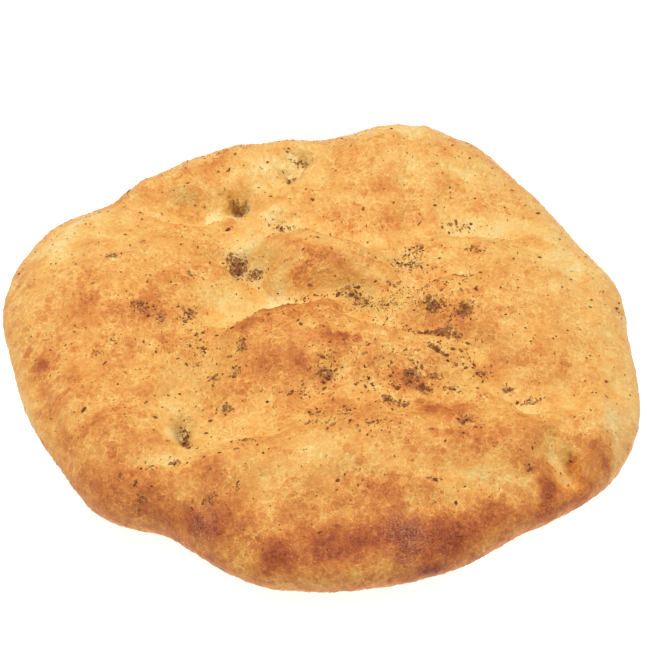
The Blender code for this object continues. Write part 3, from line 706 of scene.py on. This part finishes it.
def crust_mesh(name):
    rings = body_rings()
    points = np.concatenate(rings)
    flat = np.concatenate(flattened(rings))
    starts = np.cumsum([0] + [len(ring) for ring in rings])
    faces = []
    for i in range(len(rings) - 1):
        faces += ring_faces(len(rings[i]), len(rings[i + 1]), int(starts[i]), int(starts[i + 1]))
    mesh = bpy.data.meshes.new(name)
    mesh.from_pydata(points.tolist(), [], faces)
    mesh.update()
    mesh.shade_smooth()
    uneven = stirred(flat)
    tone = crust_tone(points, uneven)
    relief, mottle = crust_detail(flat, smooth_share(tone, *VEINED_TONES))
    below = points[:, 2] < MM
    normals = np.zeros(3 * len(points))
    mesh.vertices.foreach_get("normal", normals)
    relief = relief * smooth_share(points[:, 2], *RELIEF_FADE)
    points = points + normals.reshape(-1, 3) * relief[:, None]
    points = np.clip(points, *CAD_BOX)
    mesh.vertices.foreach_set("co", points.ravel())
    mesh.update()
    calm = np.where(below, UNDERSIDE_CALM, np.clip(MOTTLED_TONE - tone, LEAST_MOTTLE, 1))
    give_values(mesh, "tone", tone + calm * mottle)
    # Oil and herb tint, with painted shade in some hollows
    give_values(mesh, "oil_and_shade", np.clip(oval_sum(uneven, OILED_AND_SHADED), 0, 1))
    flour = np.where(below, UNDERSIDE_FLOUR, np.clip(oval_sum(uneven, FLOURED), 0, 1))
    give_values(mesh, "flour", flour)
    give_values(mesh, "dust", herb_dust(uneven))
    # Painted shade of the deep pits and grooves
    give_values(mesh, "dark", np.clip(oval_sum(uneven, PAINTED_HOLLOW_SHADE), 0, 1))
    return mesh


def scattered(draw, count):
    """Chance places all over the crust, denser in its middle."""
    bearing = draw.uniform(0, 2 * math.pi, count)
    reach = LOOSE_REACH * draw.uniform(0, 1, count) ** LOOSE_SPREAD * rim_reach(bearing)
    return reach * np.cos(bearing), reach * np.sin(bearing)


def flake_places():
    """Every flake on the crust: x, y, length, width over length and turn, by one seeded draw."""
    draw = np.random.default_rng(FLAKE_SEED)
    x, y = [], []
    for centre_x, centre_y, half_length, half_width, turn, flakes in HERB_DRIFTS:
        along, across = math.cos(math.radians(turn)), math.sin(math.radians(turn))
        u = draw.normal(0, DRIFT_SPREAD * half_length, flakes)
        v = draw.normal(0, DRIFT_SPREAD * half_width, flakes)
        x += list((centre_x + u * along - v * across) * MM)
        y += list((centre_y + u * across + v * along) * MM)
    loose_x, loose_y = scattered(draw, LOOSE_FLAKES)
    x += list(loose_x)
    y += list(loose_y)
    length = FLAKE_LENGTH * np.exp(draw.normal(0, FLAKE_SPREAD, len(x)))
    length = np.clip(length, *FLAKE_LIMITS)
    narrowness = draw.uniform(*FLAKE_NARROWNESS, len(x))
    turn = draw.uniform(0, 2 * math.pi, len(x))
    return np.stack([x, y, length, narrowness, turn], axis=1)


def shown(name, mesh, material):
    """Puts the mesh in the scene as a piece of the loaf."""
    piece = bpy.data.objects.new(name, mesh)
    bpy.context.scene.collection.objects.link(piece)
    mesh.materials.append(material)
    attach(piece, "root")
    return piece


def linear(red, green, blue):
    """A colour as seen on a screen, from 0 to 255, as the light that it stands for."""
    parts = [c / 255 for c in (red, green, blue)]
    return tuple(c / 12.92 if c <= 0.04045 else ((c + 0.055) / 1.055) ** 2.4 for c in parts) + (1,)


# Dots: the share of their reach that is full, and the luck between which they start to show
DOT_CORE = 0.4
DOT_LUCK = (0.5, 0.75)
CRACK_WIDTH = 0.12
# The cream light that is painted into the crust's colour as highlights
PAINTED_CREAM_LIGHT = (1.0, 0.66, 0.32, 1.0)


class Shading:
    """A material's node tree, with short ways to add what the looks need."""

    def __init__(self, name):
        self.material = bpy.data.materials.new(name)
        self.material.use_nodes = True
        self.tree = self.material.node_tree
        self.shader = self.tree.nodes["Principled BSDF"]
        self.place = self.add("ShaderNodeTexCoord").outputs["Object"]

    def add(self, kind, **settings):
        node = self.tree.nodes.new(kind)
        for setting, value in settings.items():
            setattr(node, setting, value)
        return node

    def feed(self, socket, value):
        if isinstance(value, bpy.types.NodeSocket):
            self.tree.links.new(value, socket)
        else:
            socket.default_value = value

    def give(self, name, value):
        """Sets an input of the material's shader, or links a socket to it."""
        self.feed(self.shader.inputs[name], value)

    def sum(self, operation, first, second=0.0, third=0.0, clamp=False):
        node = self.add("ShaderNodeMath", operation=operation, use_clamp=clamp)
        for socket, value in zip(node.inputs, (first, second, third)):
            self.feed(socket, value)
        return node.outputs[0]

    def weighted(self, *terms, start=0.0):
        """The start and each socket times its weight, added up."""
        total = start
        for socket, weight in terms:
            total = self.sum("MULTIPLY_ADD", socket, weight, total)
        return total

    def value(self, name):
        return self.add("ShaderNodeAttribute", attribute_name=name).outputs["Fac"]

    def texture(self, kind, size, place=None, **settings):
        """A texture node with features of the size in metres."""
        node = self.add("ShaderNodeTex" + kind, **settings)
        self.feed(node.inputs["Vector"], place or self.place)
        node.inputs["Scale"].default_value = 1 / size
        return node

    def noise(self, size, detail=3.0, roughness=0.55):
        """Cloudy variation round 0, from about -0.5 to 0.5."""
        node = self.texture("Noise", size)
        node.inputs["Detail"].default_value = detail
        node.inputs["Roughness"].default_value = roughness
        return self.sum("SUBTRACT", node.outputs["Fac"], 0.5)

    def lines(self, size, width):
        """1 along thin winding lines and 0 between them, where cloudy variation crosses its middle."""
        away = self.sum("ABSOLUTE", self.noise(size, detail=1.0))
        return self.sum("SUBTRACT", 1.0, self.step(away, 0, width))

    def dots(self, size, reach):
        """1 in the middle of dots about the size apart, each fading out at its reach over the size."""
        node = self.texture("Voronoi", size)
        dot = self.sum("SUBTRACT", 1.0, self.step(node.outputs["Distance"], DOT_CORE * reach, reach))
        return self.sum("MULTIPLY", dot, self.step(node.outputs["Color"], *DOT_LUCK))

    def crackle(self, size, wander):
        """Patches about the size across, with uneven edges: each one's chance, and its edge's nearness."""
        shift = self.texture("Noise", size / 2)
        bent = self.add("ShaderNodeVectorMath", operation="MULTIPLY_ADD")
        self.feed(bent.inputs[0], shift.outputs["Color"])
        bent.inputs[1].default_value = (wander, wander, wander)
        self.feed(bent.inputs[2], self.place)
        found = []
        for feature, output in (("F1", "Color"), ("DISTANCE_TO_EDGE", "Distance")):
            node = self.texture("Voronoi", size, bent.outputs["Vector"], feature=feature)
            found.append(node.outputs[output])
        vein = self.sum("SUBTRACT", 1.0, self.step(found[1], 0.0, CRACK_WIDTH))
        return self.sum("SUBTRACT", found[0], 0.5), vein

    def step(self, value, low, high):
        node = self.add("ShaderNodeMapRange", interpolation_type="SMOOTHSTEP")
        self.feed(node.inputs["Value"], value)
        node.inputs["From Min"].default_value = low
        node.inputs["From Max"].default_value = high
        return node.outputs["Result"]

    def ramp(self, value, stops):
        node = self.add("ShaderNodeValToRGB")
        self.feed(node.inputs["Fac"], value)
        elements = node.color_ramp.elements
        while len(elements) < len(stops):
            elements.new(0.5)
        for element, (place, colour) in zip(elements, stops):
            element.position = place
            element.color = linear(*colour)
        return node.outputs["Color"]

    def mix(self, share, first, second):
        node = self.add("ShaderNodeMix", data_type="RGBA")
        self.feed(node.inputs["Factor"], share)
        self.feed(node.inputs["A"], first)
        self.feed(node.inputs["B"], second)
        return node.outputs["Result"]

    def with_painted_light(self, colour, light):
        """Painted highlights and shade: the colour with some cream light added to it, or taken away where
        the light is negative.
        """
        node = self.add("ShaderNodeMix", data_type="RGBA", blend_type="ADD", clamp_factor=False)
        self.feed(node.inputs["Factor"], light)
        self.feed(node.inputs["A"], colour)
        self.feed(node.inputs["B"], PAINTED_CREAM_LIGHT)
        return node.outputs["Result"]

    def bump(self, height, distance):
        node = self.add("ShaderNodeBump")
        node.inputs["Distance"].default_value = distance
        self.feed(node.inputs["Height"], height)
        self.give("Normal", node.outputs["Normal"])


# The crust's colour at each tone, and the colours that tint it: oil with some painted shade, the painted
# shade of deep hollows, herb stain and flour
CRUST_COLOURS = (
    (0.0, (255, 226, 156)),
    (0.2, (253, 208, 125)),
    (0.4, (246, 182, 94)),
    (0.6, (232, 153, 74)),
    (0.75, (213, 129, 60)),
    (0.88, (188, 100, 49)),
    (1.0, (152, 74, 38)),
)
OIL_AND_SHADE_COLOUR = (218, 172, 86)
PAINTED_HOLLOW_SHADE_COLOUR = (118, 66, 34)
HERB_STAIN_COLOUR = (122, 68, 40)
FLOUR_COLOUR = (238, 210, 176)

# Sizes of the crust's fine features, and the limits between which wrinkles and cracks set in
MIDDLE_SIZE = 4 * MM
FINE_SIZE = 1.6 * MM
GRAIN_SIZE = 0.6 * MM
WRINKLE_SIZE, WRINKLE_WIDTH = 2.8 * MM, 0.07
WRINKLED_SIZE, WRINKLED = 12 * MM, (-0.1, 0.12)
DOT_SIZE, DOT_REACH = 1.5 * MM, 0.34
PATCH_SIZE, PATCH_WANDER = 4.2 * MM, 4 * MM
CRACKED_SIZE, CRACKED = 14 * MM, (-0.14, 0.06)

# The crust crackles where it is golden, and less where it is dark
CRACKLING_TONES = (0.3, 0.55)
CALMER_TONES = (0.62, 0.9)
CALMER = -0.6

# How strongly oil with some painted shade, the painted shade of deep hollows, herb dust and flour tint the
# crust
OIL_AND_SHADE_SHARE = 0.75
PAINTED_SHADE_SPREAD, PAINTED_SHADE_LIMITS, PAINTED_SHADE_SHARE = 0.8, (0.3, 0.8), 0.9
STAIN_SPREAD, STAIN_GRAIN, STAIN_LIMITS, STAIN_SHARE = 0.55, 1.6, (0.32, 0.62), 0.8
FLOUR_SPREAD, FLOUR_LIMITS, FLOUR_SHARE = 0.6, (0.2, 0.7), 0.45
# Painted shade: the crust's colour darkened a little all over, before the painted highlights
BASE_PAINTED_LIGHT = -0.02
ROUGHNESS, ROUGHNESS_VARIATION = 0.46, 0.4


def crust_material():
    """Baked crust: mottled browning with pale cracks, oily hollows with some painted shade, painted shade
    in deep pits and grooves, painted highlights, herb stains and some flour.
    """
    look = Shading("baked_crust")
    browning = look.value("tone")
    middle = look.noise(MIDDLE_SIZE, detail=4.0)
    fine = look.noise(FINE_SIZE, detail=4.0, roughness=0.65)
    grain = look.noise(GRAIN_SIZE)
    wrinkled = look.step(look.noise(WRINKLED_SIZE), *WRINKLED)
    wrinkle = look.sum("MULTIPLY", look.lines(WRINKLE_SIZE, WRINKLE_WIDTH), wrinkled)
    blister = look.dots(DOT_SIZE, DOT_REACH)
    patch, vein = look.crackle(PATCH_SIZE, PATCH_WANDER)
    crackling = look.weighted((look.step(browning, *CALMER_TONES), CALMER),
                              start=look.step(browning, *CRACKLING_TONES))
    cracked = look.sum("MULTIPLY", crackling, look.step(look.noise(CRACKED_SIZE), *CRACKED))
    # The blisters' paleness here is a painted highlight
    mottle = look.weighted(
        (middle, 0.16), (wrinkle, -0.16), (blister, -0.08), (fine, 0.08),
        (look.sum("MULTIPLY", cracked, patch), 0.38), (look.sum("MULTIPLY", cracked, vein), -0.26),
    )
    calm = look.sum("SUBTRACT", MOTTLED_TONE, browning, clamp=True)
    tone = look.sum("MULTIPLY_ADD", mottle, calm, browning, clamp=True)
    colour = look.ramp(tone, CRUST_COLOURS)
    # Oil and herb tint, with painted shade behind and in front of the middle mound
    colour = look.mix(look.sum("MULTIPLY", look.value("oil_and_shade"), OIL_AND_SHADE_SHARE), colour, linear(*OIL_AND_SHADE_COLOUR))
    # Painted shade in the deep pits and grooves
    dark = look.step(look.weighted((look.value("dark"), PAINTED_SHADE_SPREAD), start=fine), *PAINTED_SHADE_LIMITS)
    colour = look.mix(look.sum("MULTIPLY", dark, PAINTED_SHADE_SHARE), colour, linear(*PAINTED_HOLLOW_SHADE_COLOUR))
    stain = look.weighted((fine, STAIN_GRAIN), (look.value("dust"), STAIN_SPREAD))
    stain = look.step(stain, *STAIN_LIMITS)
    colour = look.mix(look.sum("MULTIPLY", stain, STAIN_SHARE), colour, linear(*HERB_STAIN_COLOUR))
    floured = look.step(look.weighted((look.value("flour"), FLOUR_SPREAD), start=grain), *FLOUR_LIMITS)
    colour = look.mix(look.sum("MULTIPLY", floured, FLOUR_SHARE), colour, linear(*FLOUR_COLOUR))
    # Painted highlights and specks of painted shade: cream light added or taken away over the fine grain,
    # wrinkles and blisters
    light = look.weighted((fine, 0.3), (grain, 0.3), (blister, 0.16), (wrinkle, 0.05), start=BASE_PAINTED_LIGHT)
    look.give("Base Color", look.with_painted_light(colour, light))
    look.bump(look.weighted((middle, 0.4), (fine, 0.8), (grain, 0.3), (wrinkle, 0.12), (blister, 0.15)), MM)
    look.give("Roughness", look.weighted((fine, ROUGHNESS_VARIATION), start=ROUGHNESS))
    look.give("Specular IOR Level", 0.3)
    look.give("Subsurface Weight", 0.08)
    look.give("Subsurface Radius", (2.4 * MM, 1.2 * MM, 0.5 * MM))
    look.give("Subsurface Scale", 1.0)
    return look.material


# The herb's colour at each shade
HERB_COLOURS = (
    (0.0, (108, 60, 36)),
    (0.35, (146, 88, 50)),
    (0.7, (190, 132, 76)),
    (1.0, (232, 188, 128)),
)
LEAF_GRAIN = 0.5 * MM
LEAF_PORES = 0.4 * MM


def herb_material():
    """Dried oregano: dull olive-brown leaf crumbs, each of its own shade."""
    look = Shading("dried_oregano")
    shade = look.sum("MULTIPLY_ADD", look.noise(LEAF_GRAIN), 0.5, look.value("shade"), clamp=True)
    look.give("Base Color", look.ramp(shade, HERB_COLOURS))
    look.bump(look.noise(LEAF_PORES), 0.2 * MM)
    look.give("Roughness", 0.85)
    look.give("Specular IOR Level", 0.15)
    return look.material


# A leaf fragment: its outline over its length and width, its thickness and how it lies
LEAF_OUTLINE = ((-0.5, 0), (-0.2, -0.5), (0.25, -0.42), (0.5, 0.05), (0.15, 0.5), (-0.25, 0.4))
LEAF_ABOVE = 0.32 * MM
LEAF_BELOW = 0.15 * MM
LEAF_TILT = 0.22
LEAF_DROOP = 0.16 * MM

# How shades are spread between the palest and the darkest, and the least shade of each kind
LEAF_SHADES = (1.2, 2.3)
FLAKE_PALENESS, CRUMB_PALENESS = 0.06, 0.3
FLAKE_LAYING_SEED, CRUMB_LAYING_SEED = 3, 4


def leaf_template():
    """One leaf fragment's corners, as length, width and height, and its triangles."""
    points = [(u, v, height - LEAF_DROOP * (2 * u) ** 2)
              for height in (LEAF_ABOVE, -LEAF_BELOW) for u, v in LEAF_OUTLINE]
    top = [(0, i, i + 1) for i in range(1, 5)]
    below = [(6, 7 + i, 6 + i) for i in range(1, 5)]
    sides = [face for i in range(6) for j in [(i + 1) % 6] for face in ((i, i + 6, j + 6), (i, j + 6, j))]
    return np.array(points), np.array(top + below + sides)


def laid_leaves(name, crust_tree, places, seed, paleness):
    """One mesh of many leaf fragments, each lying on the crust where its place says."""
    draw = np.random.default_rng(seed)
    corners, triangles = leaf_template()
    points, faces, shades = [], [], []
    for x, y, length, narrowness, turn in places:
        lean = draw.normal(0, LEAF_TILT, 2)
        shade = paleness + (1 - paleness) * draw.beta(*LEAF_SHADES)
        hit, normal, _, _ = crust_tree.ray_cast(Vector((x, y, 1)), Vector((0, 0, -1)))
        if hit is None:
            continue
        normal = (normal + Vector((*lean, 0))).normalized()
        along = Vector((math.cos(turn), math.sin(turn), 0))
        along = (along - along.dot(normal) * normal).normalized()
        axes = np.array([length * along, length * narrowness * normal.cross(along), normal])
        faces.append(triangles + len(corners) * len(points))
        points.append(corners @ axes + np.array(hit))
        shades += [shade] * len(corners)
    mesh = bpy.data.meshes.new(name)
    mesh.from_pydata(np.concatenate(points).tolist(), [], np.concatenate(faces).tolist())
    give_values(mesh, "shade", np.array(shades))
    return mesh


# Where crumbs lie thick though no larger flakes gathered, laid out as HERB_DRIFTS is
CRUMB_DRIFTS = (
    (30, 6, 13, 6, -10, 70), (45, 12, 12, 6, 10, 30), (-40, -30, 26, 28, 0, 60), (24, -32, 34, 18, 0, 60),
    (-75, 0, 22, 22, 0, 30),
)
CRUMBS = 3400
CRUMB_SEED = 23
LOOSE_CRUMBS = 0.3
CRUMB_LENGTHS = (0.3 * MM, 0.9 * MM)
CRUMB_NARROWNESS = (0.3, 0.7)
CRUMB_SPREAD = 0.55


def crumb_places():
    """Herb crumbs too small to name, thick where the flakes gathered and thin elsewhere."""
    draw = np.random.default_rng(CRUMB_SEED)
    drifts = np.array(HERB_DRIFTS + CRUMB_DRIFTS, float)
    chosen = drifts[draw.choice(len(drifts), CRUMBS, p=drifts[:, 5] / drifts[:, 5].sum())]
    turn = np.radians(chosen[:, 4])
    u = draw.normal(0, 1, CRUMBS) * chosen[:, 2] * CRUMB_SPREAD
    v = draw.normal(0, 1, CRUMBS) * chosen[:, 3] * CRUMB_SPREAD
    x = (chosen[:, 0] + u * np.cos(turn) - v * np.sin(turn)) * MM
    y = (chosen[:, 1] + u * np.sin(turn) + v * np.cos(turn)) * MM
    loose = draw.uniform(0, 1, CRUMBS) < LOOSE_CRUMBS
    loose_x, loose_y = scattered(draw, CRUMBS)
    x = np.where(loose, loose_x, x)
    y = np.where(loose, loose_y, y)
    length = draw.uniform(*CRUMB_LENGTHS, CRUMBS)
    narrowness = draw.uniform(*CRUMB_NARROWNESS, CRUMBS)
    return np.stack([x, y, length, narrowness, draw.uniform(0, 2 * math.pi, CRUMBS)], axis=1)


def make_loaf():
    crust = shown("crust", crust_mesh("crust"), crust_material())
    crust_tree = BVHTree.FromObject(crust, bpy.context.evaluated_depsgraph_get())
    herb = herb_material()
    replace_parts(crust, "focaccia")
    for name, places, seed, paleness in (
        ("oregano_flakes", flake_places(), FLAKE_LAYING_SEED, FLAKE_PALENESS),
        ("oregano_crumbs", crumb_places(), CRUMB_LAYING_SEED, CRUMB_PALENESS),
    ):
        leaves = laid_leaves(name, crust_tree, places, seed, paleness)
        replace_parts(shown(name, leaves, herb), "focaccia")


FLOOR_SIDE = 6
FLOOR_GREY = 0.3
FLOOR_GLOW = 0.9


def make_floor():
    bpy.ops.mesh.primitive_plane_add(size=FLOOR_SIDE)
    floor = bpy.context.object
    floor.name = "floor"
    look = Shading("pale_floor")
    look.give("Base Color", (FLOOR_GREY, FLOOR_GREY, FLOOR_GREY, 1))
    look.give("Roughness", 0.9)
    look.give("Emission Color", (1, 1, 1, 1))
    look.give("Emission Strength", FLOOR_GLOW)
    floor.data.materials.append(look.material)


# Round lights aimed at the loaf: name, place and size in metres, and power in watts
LIGHTS = (
    ("softbox", (-0.42, 0.04, 1.25), 0.5, 11.8),
    ("fill", (0.8, 0.1, 0.9), 0.6, 4.1),
)
SURROUNDING_LIGHT = 0.29


def make_lights():
    for name, place, size, power in LIGHTS:
        data = bpy.data.lights.new(name, "AREA")
        data.shape = "DISK"
        data.size = size
        data.energy = power
        light = bpy.data.objects.new(name, data)
        light.location = place
        light.rotation_euler = (-Vector(place)).to_track_quat("-Z", "Y").to_euler()
        bpy.context.scene.collection.objects.link(light)
    world = bpy.data.worlds.new("studio")
    world.use_nodes = True
    world.node_tree.nodes["Background"].inputs["Color"].default_value = (1, 1, 1, 1)
    world.node_tree.nodes["Background"].inputs["Strength"].default_value = SURROUNDING_LIGHT
    bpy.context.scene.world = world


# The photograph's camera looks along +Y and down, at a place just above the loaf's middle
CAMERA_AIM = Vector((0.004, 0.003, 0.020))
CAMERA_DISTANCE = 0.950
CAMERA_ELEVATION = math.radians(46)
PICTURE_SIDE = 650
PIXELS_PER_METRE = 2270
SENSOR = 36


def make_camera():
    data = bpy.data.cameras.new("camera")
    data.sensor_width = SENSOR
    data.lens = SENSOR * PIXELS_PER_METRE * CAMERA_DISTANCE / PICTURE_SIDE
    camera = bpy.data.objects.new("camera", data)
    back = Vector((0, -math.cos(CAMERA_ELEVATION), math.sin(CAMERA_ELEVATION)))
    camera.location = CAMERA_AIM + CAMERA_DISTANCE * back
    camera.rotation_euler = (-back).to_track_quat("-Z", "Y").to_euler()
    bpy.context.scene.collection.objects.link(camera)
    bpy.context.scene.camera = camera


make_loaf()
make_floor()
make_lights()
make_camera()
bpy.context.scene.view_settings.view_transform = "Standard"
